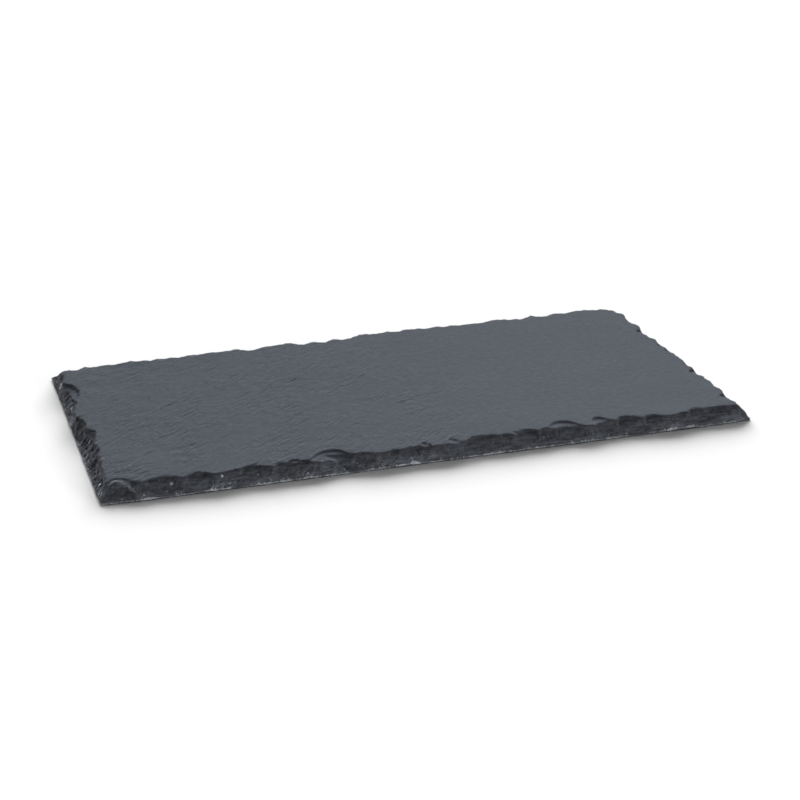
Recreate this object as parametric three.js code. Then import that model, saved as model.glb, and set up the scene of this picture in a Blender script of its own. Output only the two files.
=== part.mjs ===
// A slate serving platter, in millimetres, +Z up: one slab of natural slate.
// It was split along its bedding, so the underside and the serving face are flat. Its four sides
// were trimmed by hand: each blow took off a shell-shaped flake, so the sides slope in towards
// the serving face and meet it in a scalloped edge. The origin is the centre of the underside.
import * as THREE from "three";

// Driving dimensions
const LENGTH = 300; // along X
const DEPTH = 153; // along Y, at the right-hand end
const OUT_OF_SQUARE = 2; // how much the back edge comes in towards its left-hand end
const FRONT_TAPER = { setBack: 1, length: 16 }; // how the front edge runs in towards both corners
const THICKNESS = 6;
const RIM_HEIGHT = 0.5; // the blunt rim where the flakes run out
const RIM_OVERHANG = 0.4; // how far the rim stands out past the underside's edge
const CORNER_RADIUS = { frontLeft: 2.5, frontBend: 6, frontRight: 0.8, backRight: 1.5, backLeft: 1 };

// Shape of a trimmed side
const PLAIN_CURVE = 1.05; // exponent of the slope between flakes: 1 is a straight bevel
const FLAKE_CURVE = 1.25; // exponent of the slope inside a flake: over 1 is hollow
const FLAKE_FEATHER = 0.7; // share of a flake's extent before its place over which its depth fades in
const THIN_FLAKE_FADE = 0.4; // how much shallower a thin flake is before its place than after it

// The four sides. `plain` is how far a side slopes in where no flake bites deeper, and `lean` is
// how far a flake slides along the side for each millimetre it comes down towards the rim.
// `roundness` is the exponent of a flake's outline before and after its place: 0.5 is a quarter
// of an ellipse, and more is more pointed.
// A flake is [at, before, after, reach]: the place along the side where it bites deepest, its
// extent before and after that place, and how far in it reaches. A thin flake took only the top
// layers, so its floor is flat, and its fifth number is its depth.
// Places run along X or Y from the slab's centre.
const SIDES = {
  front: {
    plain: 5.3,
    lean: 0.1,
    roundness: [0.75, 0.5],
    flakes: [
      [-141.3, 9, 7.6, 10.6],
      [-131, 4, 5, 8],
      [-126, 5.5, 14, 9.8],
      [-107.8, 7.5, 7, 9.6],
      [-91.5, 2.5, 2.5, 8.1],
      [-84.5, 8.5, 10, 9.2],
      [-71, 4.5, 4, 8.4],
      [-66, 6, 9.5, 9.9],
      [-47, 9, 9, 7],
      [-35, 8, 8, 8],
      [-20.5, 4.5, 4, 6.6],
      [-12.5, 4.5, 3.5, 7.2],
      [-9, 3, 3, 8],
      [18.5, 11, 11, 9.7],
      [25, 5, 5, 9.6],
      [31, 3, 3.5, 8.6],
      [39.7, 4.5, 9, 10.5],
      [51, 6.5, 6.5, 9],
      [62, 11, 8, 10],
      [80, 9, 7, 9.5],
      [90.5, 8.5, 6.5, 11],
      [101.5, 4, 6.5, 9.1],
      [117.5, 6, 4, 6.9],
      [125.3, 7, 3, 10.3],
      [133, 15, 19, 8.2],
    ],
    thinFlakes: [
      [-141.3, 9, 8.4, 13.2, 0.6],
      [-46.5, 16, 6.5, 15, 0.9],
      [-6.5, 3, 3, 10.5, 0.6],
      [6.3, 3, 5, 10.2, 0.5],
      [36, 2, 2.5, 9.5, 0.5],
      [60.5, 12, 7.2, 14.3, 0.7],
      [78, 7, 5, 13.5, 0.7],
    ],
  },
  back: {
    plain: 1.6,
    lean: 0,
    roundness: [0.5, 0.5],
    flakes: [
      [-143, 8, 9, 5.8],
      [-139.3, 3, 3.8, 7.1],
      [-130.8, 3.4, 5, 5.2],
      [-125, 12, 22, 3.6],
      [-119.8, 5.2, 4.6, 5.2],
      [-107.8, 2, 2, 4.4],
      [-101.8, 2.8, 4.2, 5.4],
      [-98, 9, 16, 3.9],
      [-94, 4, 4, 4.9],
      [-87.8, 3.5, 4.2, 5.3],
      [-77.3, 3.3, 3.5, 4.6],
      [-67.5, 4.5, 3.8, 3.8],
      [-61, 8, 8, 2.7],
      [-52.5, 4, 9, 6.4],
      [-42.5, 4, 5, 3.9],
      [-34.6, 1.2, 1.6, 2.5],
      [-30.5, 2.5, 2.2, 2.5],
      [-24.2, 4, 4.5, 6.6],
      [-18.5, 4, 4, 4],
      [-14, 3.4, 3.6, 7.4],
      [-8, 4, 4, 3.6],
      [-2.5, 3.8, 6.5, 5.7],
      [15, 7, 5.5, 3.3],
      [26, 2.6, 3, 3.2],
      [34.5, 2.4, 2.2, 2.5],
      [41, 3, 6.5, 3.7],
      [51.5, 3, 3.5, 4],
      [60, 5.5, 6, 4.2],
      [62, 14, 14, 3.4],
      [69, 4, 7.5, 4.1],
      [83, 2.8, 3.6, 3.2],
      [88.3, 2.4, 3.5, 4.9],
      [92.8, 3.2, 4.6, 5.8],
      [104.8, 1.2, 7, 5.4],
      [112, 6, 6, 3],
      [117.3, 2.2, 4.8, 4.1],
      [128, 3, 4.5, 2.7],
      [135.5, 3.5, 5.5, 4.3],
      [140, 5, 6, 4.4],
      [146, 6, 8, 8],
    ],
    thinFlakes: [],
  },
  left: {
    plain: 3,
    lean: 0.25,
    roundness: [0.7, 0.5],
    flakes: [
      [-46, 34, 42, 5.5],
      [-57, 8, 9, 5.4],
      [-40, 3.5, 5, 6.6],
      [-30, 8, 8, 7.7],
      [-19.5, 6, 5, 7.8],
      [-16, 5, 5, 7.6],
      [-12, 5, 6.5, 8.8],
      [-1, 7, 10, 6.1],
      [27, 7, 9, 6],
      [37.5, 9, 11, 5.6],
      [60.5, 6, 9, 4.4],
      [75, 12, 10, 6.9],
    ],
    thinFlakes: [
      [41, 17, 11, 8.7, 1.3],
    ],
  },
  right: {
    plain: 2.8,
    lean: 0,
    roundness: [0.5, 0.5],
    flakes: [
      [-70, 8, 9, 4.2],
      [-59.5, 9, 9.5, 4.8],
      [-45, 5, 4.5, 3.6],
      [-34.5, 5.5, 4, 3.5],
      [-28.5, 2.5, 10.5, 4.5],
      [-14.5, 5, 5, 3.6],
      [-7, 2, 4, 3.2],
      [5.7, 4.5, 4, 4.3],
      [15, 4.5, 6.5, 4.7],
      [26.5, 6, 4.5, 4.9],
      [30.5, 1.8, 11, 5.8],
      [49.5, 4.5, 11, 5.2],
      [69.5, 7, 9, 7.6],
    ],
    thinFlakes: [
      [-57, 8, 2, 7, 0.9],
      [-24, 8, 2, 6.6, 0.9],
      [-15, 5, 2, 5.2, 0.7],
      [5, 5, 2, 5.8, 0.7],
      [13, 6, 2, 6.2, 0.7],
      [35, 8, 2, 7.4, 0.9],
    ],
  },
};

// How finely the slab is faceted
const STATION_STEP = 2; // spacing of the points along the rim
const ARC_STEPS = 3; // facets in each rounded corner
const SLOPE_RINGS = [0, 0.2, 0.4, 0.6, 0.8, 0.94, 1]; // shares of the way up to the serving face
const INNER_MARGIN = 16; // distance from the rim to the rectangle that the slopes face
const FAN_LENGTH = 40; // the last stretch of a side, whose facets fan out to the corner
const BISECTIONS = 30;

const HALF_LENGTH = LENGTH / 2;
const HALF_DEPTH = DEPTH / 2;

// The Y of the slab's front and back edges at x.
function frontEdge(x) {
  const pastBend = Math.max(0, Math.abs(x) - (HALF_LENGTH - FRONT_TAPER.length));
  return -HALF_DEPTH + (FRONT_TAPER.setBack * pastBend) / FRONT_TAPER.length;
}

function backEdge(x) {
  return HALF_DEPTH - OUT_OF_SQUARE * (0.5 - x / LENGTH);
}

// How far a point is up a flake, from 0 at the rim to 1 at the flake's end, and more past it.
// Also how far it is across the flake, from -1 to 1.
function flakeShare(side, along, inward, [at, before, after, reach]) {
  const offset = along - at - side.lean * (reach - inward);
  const across = THREE.MathUtils.clamp(offset / (offset < 0 ? before : after), -1, 1);
  const roundness = side.roundness[offset < 0 ? 0 : 1];
  const inset = reach * Math.max(1e-6, 1 - across * across) ** roundness;
  return { share: inward / inset, across };
}

// How high one side's slope stands at a point, from 0 at its rim to 1 at the serving face.
function slope(side, along, fromEdge) {
  const inward = Math.max(0, fromEdge);
  let height = (inward / side.plain) ** PLAIN_CURVE;
  for (const flake of side.flakes) {
    const { share, across } = flakeShare(side, along, inward, flake);
    const depth = 1 - Math.min(1, share) ** FLAKE_CURVE;
    const feather = THREE.MathUtils.smootherstep(across, -1, FLAKE_FEATHER - 1);
    height = Math.min(height, 1 - feather * depth);
  }
  for (const flake of side.thinFlakes) {
    const { share, across } = flakeShare(side, along, inward, flake);
    if (share >= 1) continue;
    const fading = Math.sqrt(1 - across * across) * (1 + THIN_FLAKE_FADE * across);
    height = Math.min(height, 1 - (flake[4] * fading) / THICKNESS);
  }
  return Math.min(1, height);
}

// The same for the whole slab: the lowest of its four sides.
function slabSlope({ x, y }) {
  return Math.min(
    slope(SIDES.front, x, y - frontEdge(x)),
    slope(SIDES.back, x, backEdge(x) - y),
    slope(SIDES.left, y, x + HALF_LENGTH),
    slope(SIDES.right, y, HALF_LENGTH - x),
  );
}

// Points round the rim, anticlockwise seen from above.
function rimPoints() {
  const bend = HALF_LENGTH - FRONT_TAPER.length;
  const corner = (x, edge, radius) => ({ at: new THREE.Vector2(x, edge(x)), radius });
  const corners = [
    corner(-HALF_LENGTH, frontEdge, CORNER_RADIUS.frontLeft),
    corner(-bend, frontEdge, CORNER_RADIUS.frontBend),
    corner(bend, frontEdge, CORNER_RADIUS.frontBend),
    corner(HALF_LENGTH, frontEdge, CORNER_RADIUS.frontRight),
    corner(HALF_LENGTH, backEdge, CORNER_RADIUS.backRight),
    corner(-HALF_LENGTH, backEdge, CORNER_RADIUS.backLeft),
  ];
  return corners.flatMap(({ at, radius }, i) => {
    const previous = corners.at(i - 1);
    const next = corners[(i + 1) % corners.length];
    const arcStart = towards(at, previous.at, radius);
    const arcEnd = towards(at, next.at, radius);
    const arc = new THREE.QuadraticBezierCurve(arcStart, at, arcEnd).getPoints(ARC_STEPS);
    const side = new THREE.LineCurve(arcEnd, towards(next.at, at, next.radius));
    const steps = Math.max(1, Math.round(side.getLength() / STATION_STEP));
    return [...arc, ...side.getPoints(steps).slice(1, -1)];
  });
}

function towards(from, to, distance) {
  return from.clone().add(to.clone().sub(from).setLength(distance));
}

// The point of the inner rectangle that a rim point faces: straight across the side, but drawn in
// over the last stretch of it.
function facing(rim) {
  const drawIn = (value, half) => {
    const over = Math.max(0, Math.abs(value) - (half - FAN_LENGTH));
    return value - (Math.sign(value) * over * INNER_MARGIN) / FAN_LENGTH;
  };
  return new THREE.Vector2(drawIn(rim.x, HALF_LENGTH), drawIn(rim.y, HALF_DEPTH));
}

// Where the slope from a rim point first reaches the serving face.
function shoulder(rim) {
  const inner = facing(rim);
  let low = 0;
  let high = 1;
  for (let i = 0; i < BISECTIONS; i++) {
    const middle = (low + high) / 2;
    if (slabSlope(rim.clone().lerp(inner, middle)) < 1) low = middle;
    else high = middle;
  }
  return rim.clone().lerp(inner, high);
}

// The closed slab: rings of points from the underside's edge up the slopes, and two flat caps.
function slabGeometry() {
  const rims = rimPoints();
  const count = rims.length;
  const shoulders = rims.map(shoulder);
  const rings = [rims.map((rim) => [towards(rim, facing(rim), RIM_OVERHANG), 0])];
  for (const share of SLOPE_RINGS) {
    rings.push(
      rims.map((rim, i) => {
        const point = rim.clone().lerp(shoulders[i], share);
        const rise = share === 1 ? 1 : slabSlope(point);
        return [point, RIM_HEIGHT + (THICKNESS - RIM_HEIGHT) * rise];
      }),
    );
  }
  const positions = rings.flat().flatMap(([point, z]) => [point.x, point.y, z]);

  const triangles = [];
  for (let ring = 0; ring + 1 < rings.length; ring++) {
    for (let i = 0; i < count; i++) {
      const a = ring * count + i;
      const b = ring * count + ((i + 1) % count);
      triangles.push(a, b, b + count, a, b + count, a + count);
    }
  }
  const cap = (ring) => THREE.ShapeUtils.triangulateShape(ring.map(([point]) => point), []);
  for (const [a, b, c] of cap(rings[0])) triangles.push(a, c, b);
  const top = (rings.length - 1) * count;
  for (const [a, b, c] of cap(rings.at(-1))) triangles.push(top + a, top + b, top + c);

  const geometry = new THREE.BufferGeometry();
  geometry.setAttribute("position", new THREE.Float32BufferAttribute(positions, 3));
  geometry.setIndex(triangles);
  geometry.computeVertexNormals();
  return geometry;
}

const slate = new THREE.MeshStandardMaterial({ color: 0x5c6169, roughness: 0.6, metalness: 0 });
const slab = new THREE.Mesh(slabGeometry(), slate);
slab.name = "slate_slab";

const platter = new THREE.Group();
platter.add(slab);

export default platter;
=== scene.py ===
"""The looks of the slate platter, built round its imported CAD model.

The slab is one piece of natural slate. Its serving face was split along the bedding, and its four
sides were trimmed by hand, so flakes slope down from the face to a blunt rim. A fine mesh follows
the CAD solid's outline and flakes, and adds what the facets leave out: ripples and thin steps on
the cleft faces, and small chips, bedding lines and crushed grains on the trimmed sides.
Lengths are in millimetres until the mesh is written in metres. +Z is up.
"""

import functools
import math

import bpy
import numpy as np
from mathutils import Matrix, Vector


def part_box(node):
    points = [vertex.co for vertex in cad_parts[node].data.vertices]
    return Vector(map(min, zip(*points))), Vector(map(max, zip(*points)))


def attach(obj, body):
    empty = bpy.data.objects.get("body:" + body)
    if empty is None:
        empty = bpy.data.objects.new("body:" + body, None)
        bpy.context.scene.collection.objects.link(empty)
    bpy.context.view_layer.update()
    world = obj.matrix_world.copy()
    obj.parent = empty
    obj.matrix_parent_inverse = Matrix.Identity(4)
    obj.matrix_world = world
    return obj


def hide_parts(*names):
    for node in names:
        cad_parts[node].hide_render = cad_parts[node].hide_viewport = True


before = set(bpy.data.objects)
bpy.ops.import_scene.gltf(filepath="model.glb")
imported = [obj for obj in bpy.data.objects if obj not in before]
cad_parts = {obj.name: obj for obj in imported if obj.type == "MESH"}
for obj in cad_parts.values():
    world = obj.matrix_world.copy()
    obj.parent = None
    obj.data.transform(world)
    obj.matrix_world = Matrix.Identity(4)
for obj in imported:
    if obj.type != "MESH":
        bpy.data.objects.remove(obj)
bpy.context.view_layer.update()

MM = 0.001
NODE = "slate_slab"

low_corner, high_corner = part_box(NODE)
LENGTH, DEPTH, THICKNESS = (high_corner - low_corner) / MM
HALF_LENGTH = LENGTH / 2
HALF_DEPTH = DEPTH / 2

# Outline of the slab, as in the CAD model
OUT_OF_SQUARE = 2  # how much the back edge comes in towards its left-hand end
FRONT_SET_BACK = 1  # how far the front edge runs in at both corners
FRONT_BEND = 16  # length over which it does so
RIM_HEIGHT = 0.5
RIM_OVERHANG = 0.4
CORNER_RADII = (2.5, 0.8, 1.5, 1)  # front left, front right, back right, back left

# Shape of a trimmed side, as in the CAD model
PLAIN_CURVE = 1.05
FLAKE_CURVE = 1.25
FLAKE_FEATHER = 0.7  # share of a flake's extent before its place over which its depth fades in
THIN_FLAKE_FADE = 0.4

# Thin flakes in the fine mesh only
THIN_FLAKE_STEP = 0.4  # width of the step up to the serving face
THIN_FLAKE_EDGE = 0.75  # share of its depth that a thin flake has at the step
THIN_FLAKE_DEEPENING = 0.07  # further share for each millimetre from there
THIN_FLAKE_DEEPEST = 8  # how far from the step it goes on getting deeper

# The four sides, as in the CAD model. A flake is (place along the side, extent before it, extent
# after it, reach inwards), and a thin flake has the depth of the layers that it took.
SIDES = {
    "front": {
        "plain": 5.3,
        "lean": 0.1,
        "roundness": (0.75, 0.5),
        "flakes": [
            (-141.3, 9, 7.6, 10.6), (-131, 4, 5, 8), (-126, 5.5, 14, 9.8), (-107.8, 7.5, 7, 9.6),
            (-91.5, 2.5, 2.5, 8.1), (-84.5, 8.5, 10, 9.2), (-71, 4.5, 4, 8.4), (-66, 6, 9.5, 9.9),
            (-47, 9, 9, 7), (-35, 8, 8, 8), (-20.5, 4.5, 4, 6.6), (-12.5, 4.5, 3.5, 7.2),
            (-9, 3, 3, 8), (18.5, 11, 11, 9.7), (25, 5, 5, 9.6), (31, 3, 3.5, 8.6),
            (39.7, 4.5, 9, 10.5), (51, 6.5, 6.5, 9), (62, 11, 8, 10), (80, 9, 7, 9.5),
            (90.5, 8.5, 6.5, 11), (101.5, 4, 6.5, 9.1), (117.5, 6, 4, 6.9), (125.3, 7, 3, 10.3),
            (133, 15, 19, 8.2),
        ],
        "thin": [
            (-141.3, 9, 8.4, 13.2, 0.6), (-46.5, 16, 6.5, 15, 0.9), (-6.5, 3, 3, 10.5, 0.6),
            (6.3, 3, 5, 10.2, 0.5), (36, 2, 2.5, 9.5, 0.5), (60.5, 12, 7.2, 14.3, 0.7),
            (78, 7, 5, 13.5, 0.7),
        ],
    },
    "back": {
        "plain": 1.6,
        "lean": 0,
        "roundness": (0.5, 0.5),
        "flakes": [
            (-143, 8, 9, 5.8), (-139.3, 3, 3.8, 7.1), (-130.8, 3.4, 5, 5.2), (-125, 12, 22, 3.6),
            (-119.8, 5.2, 4.6, 5.2), (-107.8, 2, 2, 4.4), (-101.8, 2.8, 4.2, 5.4),
            (-98, 9, 16, 3.9), (-94, 4, 4, 4.9), (-87.8, 3.5, 4.2, 5.3), (-77.3, 3.3, 3.5, 4.6),
            (-67.5, 4.5, 3.8, 3.8), (-61, 8, 8, 2.7), (-52.5, 4, 9, 6.4), (-42.5, 4, 5, 3.9),
            (-34.6, 1.2, 1.6, 2.5), (-30.5, 2.5, 2.2, 2.5), (-24.2, 4, 4.5, 6.6), (-18.5, 4, 4, 4),
            (-14, 3.4, 3.6, 7.4), (-8, 4, 4, 3.6), (-2.5, 3.8, 6.5, 5.7), (15, 7, 5.5, 3.3),
            (26, 2.6, 3, 3.2), (34.5, 2.4, 2.2, 2.5), (41, 3, 6.5, 3.7), (51.5, 3, 3.5, 4),
            (60, 5.5, 6, 4.2), (62, 14, 14, 3.4), (69, 4, 7.5, 4.1), (83, 2.8, 3.6, 3.2),
            (88.3, 2.4, 3.5, 4.9), (92.8, 3.2, 4.6, 5.8), (104.8, 1.2, 7, 5.4), (112, 6, 6, 3),
            (117.3, 2.2, 4.8, 4.1), (128, 3, 4.5, 2.7), (135.5, 3.5, 5.5, 4.3), (140, 5, 6, 4.4),
            (146, 6, 8, 8),
        ],
        "thin": [],
    },
    "left": {
        "plain": 3,
        "lean": 0.25,
        "roundness": (0.7, 0.5),
        "flakes": [
            (-46, 34, 42, 5.5), (-57, 8, 9, 5.4), (-40, 3.5, 5, 6.6), (-30, 8, 8, 7.7),
            (-19.5, 6, 5, 7.8), (-16, 5, 5, 7.6), (-12, 5, 6.5, 8.8), (-1, 7, 10, 6.1),
            (27, 7, 9, 6), (37.5, 9, 11, 5.6), (60.5, 6, 9, 4.4), (75, 12, 10, 6.9),
        ],
        "thin": [(41, 17, 11, 8.7, 1.3)],
    },
    "right": {
        "plain": 2.8,
        "lean": 0,
        "roundness": (0.5, 0.5),
        "flakes": [
            (-70, 8, 9, 4.2), (-59.5, 9, 9.5, 4.8), (-45, 5, 4.5, 3.6), (-34.5, 5.5, 4, 3.5),
            (-28.5, 2.5, 10.5, 4.5), (-14.5, 5, 5, 3.6), (-7, 2, 4, 3.2), (5.7, 4.5, 4, 4.3),
            (15, 4.5, 6.5, 4.7), (26.5, 6, 4.5, 4.9), (30.5, 1.8, 11, 5.8), (49.5, 4.5, 11, 5.2),
            (69.5, 7, 9, 7.6),
        ],
        "thin": [
            (-57, 8, 2, 7, 0.9), (-24, 8, 2, 6.6, 0.9), (-15, 5, 2, 5.2, 0.7), (5, 5, 2, 5.8, 0.7),
            (13, 6, 2, 6.2, 0.7), (35, 8, 2, 7.4, 0.9),
        ],
    },
}


def by_side(*values):
    """Values for the front, the back, the left and the right side, by name."""
    return dict(zip(SIDES, values))


# How fine the mesh is
GRID_PITCH = 1.35  # of the serving face's grid
GRID_MARGIN = by_side(17.5, 10, 11, 9.5)  # rim to grid
STATIONS_PER_STEP = 4  # rim stations for each step of the grid's border
SLOPE_RINGS = 24  # rings from the rim up to the serving face
FACE_RINGS = 4  # rings from there to the grid
FACE_RING_GROWTH = 1.3  # power of the rings' spacing there
SHOULDER_MARGIN = 0.04  # from the slope's end to the next ring, as a share of the way to the grid
BISECTIONS = 24
UNDERHANG_RINGS = ((0.22, 0.28), (RIM_OVERHANG, 0))  # inset and height of rings below the rim
UNDERSIDE_RINGS = ((0.3, 2), (0.65, 4))  # share of the way to the grid, and rim stations for each
SHARP_ANGLE = 38  # degrees
MAP_MARGIN = 3  # round each half of the UV map

rng = np.random.default_rng(11)


# ---- Noise ----
class Noise:
    """Gradient noise in the plane, with mean 0 and spread 1. It repeats every SIZE units."""

    SIZE = 256
    SPREAD = 0.29  # root mean square of gradient noise whose slopes are unit vectors

    def __init__(self):
        turn = rng.uniform(0, 2 * math.pi, (self.SIZE, self.SIZE))
        self.slopes = np.stack([np.cos(turn), np.sin(turn)], -1)

    def __call__(self, x, y):
        x, y = np.broadcast_arrays(x, y)
        column, row = np.floor(x).astype(int), np.floor(y).astype(int)
        u, v = x - column, y - row

        def corner(right, up):
            slopes = self.slopes[(row + up) % self.SIZE, (column + right) % self.SIZE]
            return slopes[..., 0] * (u - right) + slopes[..., 1] * (v - up)

        ease_u, ease_v = smooth(u), smooth(v)
        lower = corner(0, 0) * (1 - ease_u) + corner(1, 0) * ease_u
        upper = corner(0, 1) * (1 - ease_u) + corner(1, 1) * ease_u
        return (lower * (1 - ease_v) + upper * ease_v) / self.SPREAD

    def fractal(self, x, y, octaves, gain=0.5):
        parts = [gain**i * self(x * 2**i + 17 * i, y * 2**i + 29 * i) for i in range(octaves)]
        return sum(parts) / math.sqrt(sum(gain ** (2 * i) for i in range(octaves)))


def smooth(t):
    return t * t * t * (t * (t * 6 - 15) + 10)


def step_up(value, start, end):
    """0 below start, 1 above end, and a smooth rise between them."""
    return smooth(np.clip((value - start) / (end - start), 0, 1))


def along_grain(x, y, degrees):
    """Coordinates along and across a direction in the plane."""
    turn = math.radians(degrees)
    return x * math.cos(turn) + y * math.sin(turn), y * math.cos(turn) - x * math.sin(turn)


# ---- Shape of the slab ----
def front_edge(x):
    past_bend = np.maximum(0, np.abs(x) - (HALF_LENGTH - FRONT_BEND))
    return -HALF_DEPTH + FRONT_SET_BACK * past_bend / FRONT_BEND


def back_edge(x):
    return HALF_DEPTH - OUT_OF_SQUARE * (0.5 - x / LENGTH)


def half_side(name):
    """Half the length of a side."""
    return HALF_LENGTH if name in ("front", "back") else HALF_DEPTH


def side_places(x, y):
    """For each side, how far along it and how far in from it a point lies."""
    return {
        "front": (x, y - front_edge(x)),
        "back": (x, back_edge(x) - y),
        "left": (y, x + HALF_LENGTH),
        "right": (y, HALF_LENGTH - x),
    }


def nearest_rim(x, y):
    """How far in from the nearest side a point lies."""
    return np.minimum.reduce([inward for _, inward in side_places(x, y).values()])


def flake_share(side, along, inward, at, before, after, reach):
    """How far a point is up a flake, from 0 at the rim to 1 at the flake's end, and more past it.

    Also how far it is across the flake, from -1 to 1.
    """
    offset = along - at - side["lean"] * (reach - inward)
    across = np.clip(offset / np.where(offset < 0, before, after), -1, 1)
    roundness = np.where(offset < 0, *side["roundness"])
    inset = reach * np.maximum(1e-6, 1 - across**2) ** roundness
    return np.maximum(0, inward) / inset, across


def side_slope(side, along, inward):
    """How high a side's slope stands, from 0 at its rim to 1 at the serving face."""
    height = (np.maximum(0, inward) / side["plain"]) ** PLAIN_CURVE
    for flake in side["flakes"]:
        share, across = flake_share(side, along, inward, *flake)
        depth = step_up(across, -1, FLAKE_FEATHER - 1) * (1 - np.minimum(1, share) ** FLAKE_CURVE)
        height = np.minimum(height, 1 - depth)
    return np.minimum(1, height)


RASTER_ALONG, RASTER_INWARD = 0.25, 0.15
RASTER_REACH = 20  # inwards
RASTER_MARGIN = 10  # past both ends of the side
BANK_REACH = 4
STEEPEST = 0.14  # of the banks between flakes: share of the slope's height for each millimetre
SOFT_EDGE, WORN_EDGE = 0.25, 0.9  # rounding of the serving face's edge: least and most
ON_FACE = 0.99  # share of its height at which a slope counts as ended


def thin_layers(side, along, inward):
    """How high the thin flakes leave the serving face, and where their flat floors are."""
    height = np.ones(np.broadcast(along, inward).shape)
    floor = np.zeros_like(height)
    for *flake, depth in side["thin"]:
        share, across = flake_share(side, along, inward, *flake)
        rise = np.gradient(np.minimum(share, 4), RASTER_ALONG, RASTER_INWARD)
        inside = (1 - share) / np.maximum(1e-6, np.hypot(*rise))
        cut = step_up(inside, 0, THIN_FLAKE_STEP)
        fading = np.sqrt(1 - across**2) * (1 + THIN_FLAKE_FADE * across)
        deepening = THIN_FLAKE_DEEPENING * np.clip(inside, 0, THIN_FLAKE_DEEPEST)
        fading = fading * (THIN_FLAKE_EDGE + deepening)
        height = np.minimum(height, 1 - cut * fading * depth / THICKNESS)
        floor = np.maximum(floor, cut)
    return height, floor


def banked(height, steepest):
    """A raster of a side, cut down so that it nowhere rises faster than that along the side."""
    reach = int(BANK_REACH / RASTER_ALONG)
    padded = np.pad(height, ((reach, reach), (0, 0)), mode="edge")
    for k in range(2 * reach + 1):
        rise = steepest * abs(k - reach) * RASTER_ALONG
        height = np.minimum(height, padded[k : k + len(height)] + rise)
    return height


def blurred(field, along, inward):
    """A field of a side's raster, blurred by so many millimetres in each direction."""
    for axis, spread in enumerate((along / RASTER_ALONG, inward / RASTER_INWARD)):
        if spread:
            reach = math.ceil(3 * spread)
            weights = np.exp(-0.5 * (np.arange(-reach, reach + 1) / spread) ** 2)
            weights /= weights.sum()
            padding = [(0, 0), (0, 0)]
            padding[axis] = (reach, reach)
            padded = np.pad(field, padding, mode="edge")
            field = np.apply_along_axis(np.convolve, axis, padded, weights, "valid")
    return field


# Scoops: shell-shaped hollows that open towards the rim. Their number, half widths, reaches as
# shares of the slope's, depths as shares of its height, and lean; then those that stand out, as
# (place, extent before, extent after, reach, depth, lean).
SCOOPS = {
    "front": ((44, (4, 10), (0.3, 0.9), (0.08, 0.3), 1.1), [
        (-143, 7, 8.5, 11, 0.6, 0), (-146.5, 4, 6, 4.5, 0.5, 0), (-62, 6, 8, 6, 0.25, 0.9),
        (62, 7, 7, 8, 0.35, 0.9), (80, 7, 7, 7.5, 0.35, 0.9), (27, 6, 6, 6.5, 0.35, 0.9),
    ]),
    "back": ((40, (3, 7), (0.3, 0.9), (0.1, 0.35), -0.4), []),
    "left": ((12, (3, 6), (0.4, 0.9), (0.15, 0.4), 0.3), []),
    "right": ((22, (3, 7), (0.3, 0.9), (0.1, 0.35), 0.4), []),
}


class SideRaster:
    """One side's slope on a raster, with the ridges between its flakes softened low down."""

    def __init__(self, name):
        side = SIDES[name]
        half = half_side(name) + RASTER_MARGIN
        self.start = -half
        along = np.arange(-half, half, RASTER_ALONG)[:, None]
        inward = np.arange(0, RASTER_REACH, RASTER_INWARD)[None, :]
        base = banked(side_slope(side, along, inward), STEEPEST)
        layer, floor = thin_layers(side, along, inward)
        self.edge = np.minimum(base, layer)
        self.floor = floor * step_up(base - layer, -0.02, 0.05)
        self.crisp = step_up(blurred(floor, 1, 1), 0.02, 0.2)
        narrow = blurred(base, 2.5, 0.3)
        wide = blurred(base, 8, 0.6)
        middle = step_up(base, 0.45, 0.95)
        high = step_up(base, 0.85, 0.99)
        self.slope = np.minimum(layer, wide + (narrow - wide) * middle + (base - narrow) * high)
        self.scoop(name, along, inward)
        self.soft = blurred(self.slope, SOFT_EDGE, SOFT_EDGE)
        self.worn = blurred(self.slope, WORN_EDGE, WORN_EDGE)

    def scoop(self, name, along, inward):
        """Hollows the slope out, with crisp edges."""
        (count, widths, reaches, depths, usual_lean), placed = SCOOPS[name]
        at = rng.uniform(along[0, 0], along[-1, 0], count)
        columns = ((at - self.start) / RASTER_ALONG).astype(int)
        ends = RASTER_INWARD * np.argmax(self.edge > ON_FACE, axis=1)[columns]
        before, after = rng.uniform(*widths, (2, count))
        reach = ends * rng.uniform(*reaches, count)
        leans = usual_lean + rng.normal(0, 0.3, count)
        drawn = zip(at, before, after, reach, rng.uniform(*depths, count), leans)
        for *scoop, depth, lean in [*drawn, *placed]:
            shape = {"lean": lean, "roundness": (0.5, 0.5)}
            share, _ = flake_share(shape, along, inward, *scoop)
            self.slope = self.slope * (1 - depth * np.maximum(0, 1 - share**2))

    def sample(self, name, along, inward):
        """The value of one of the fields at places between the points."""
        field = getattr(self, name)
        column = np.clip((along - self.start) / RASTER_ALONG, 0, field.shape[0] - 1.001)
        row = np.clip(inward / RASTER_INWARD, 0, field.shape[1] - 1.001)
        i, j = column.astype(int), row.astype(int)
        u, v = column - i, row - j
        near = field[i, j] * (1 - u) + field[i + 1, j] * u
        far = field[i, j + 1] * (1 - u) + field[i + 1, j + 1] * u
        return near * (1 - v) + far * v


RASTERS = {name: SideRaster(name) for name in SIDES}

edge_noise = Noise()
EDGE_RAGGED = by_side(0.12, 0.3, 0.3, 0.15)


def over_sides(pick, field, x, y):
    """One field's least or greatest value on the sides, with ragged edges."""
    ragged = edge_noise.fractal(x / 2.6, y / 2.6, 3, 0.6)
    values = []
    for name, (along, inward) in side_places(x, y).items():
        inward = inward + EDGE_RAGGED[name] * ragged * step_up(inward, 0, 2)
        values.append(RASTERS[name].sample(field, along, inward))
    return pick.reduce(values)


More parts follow.
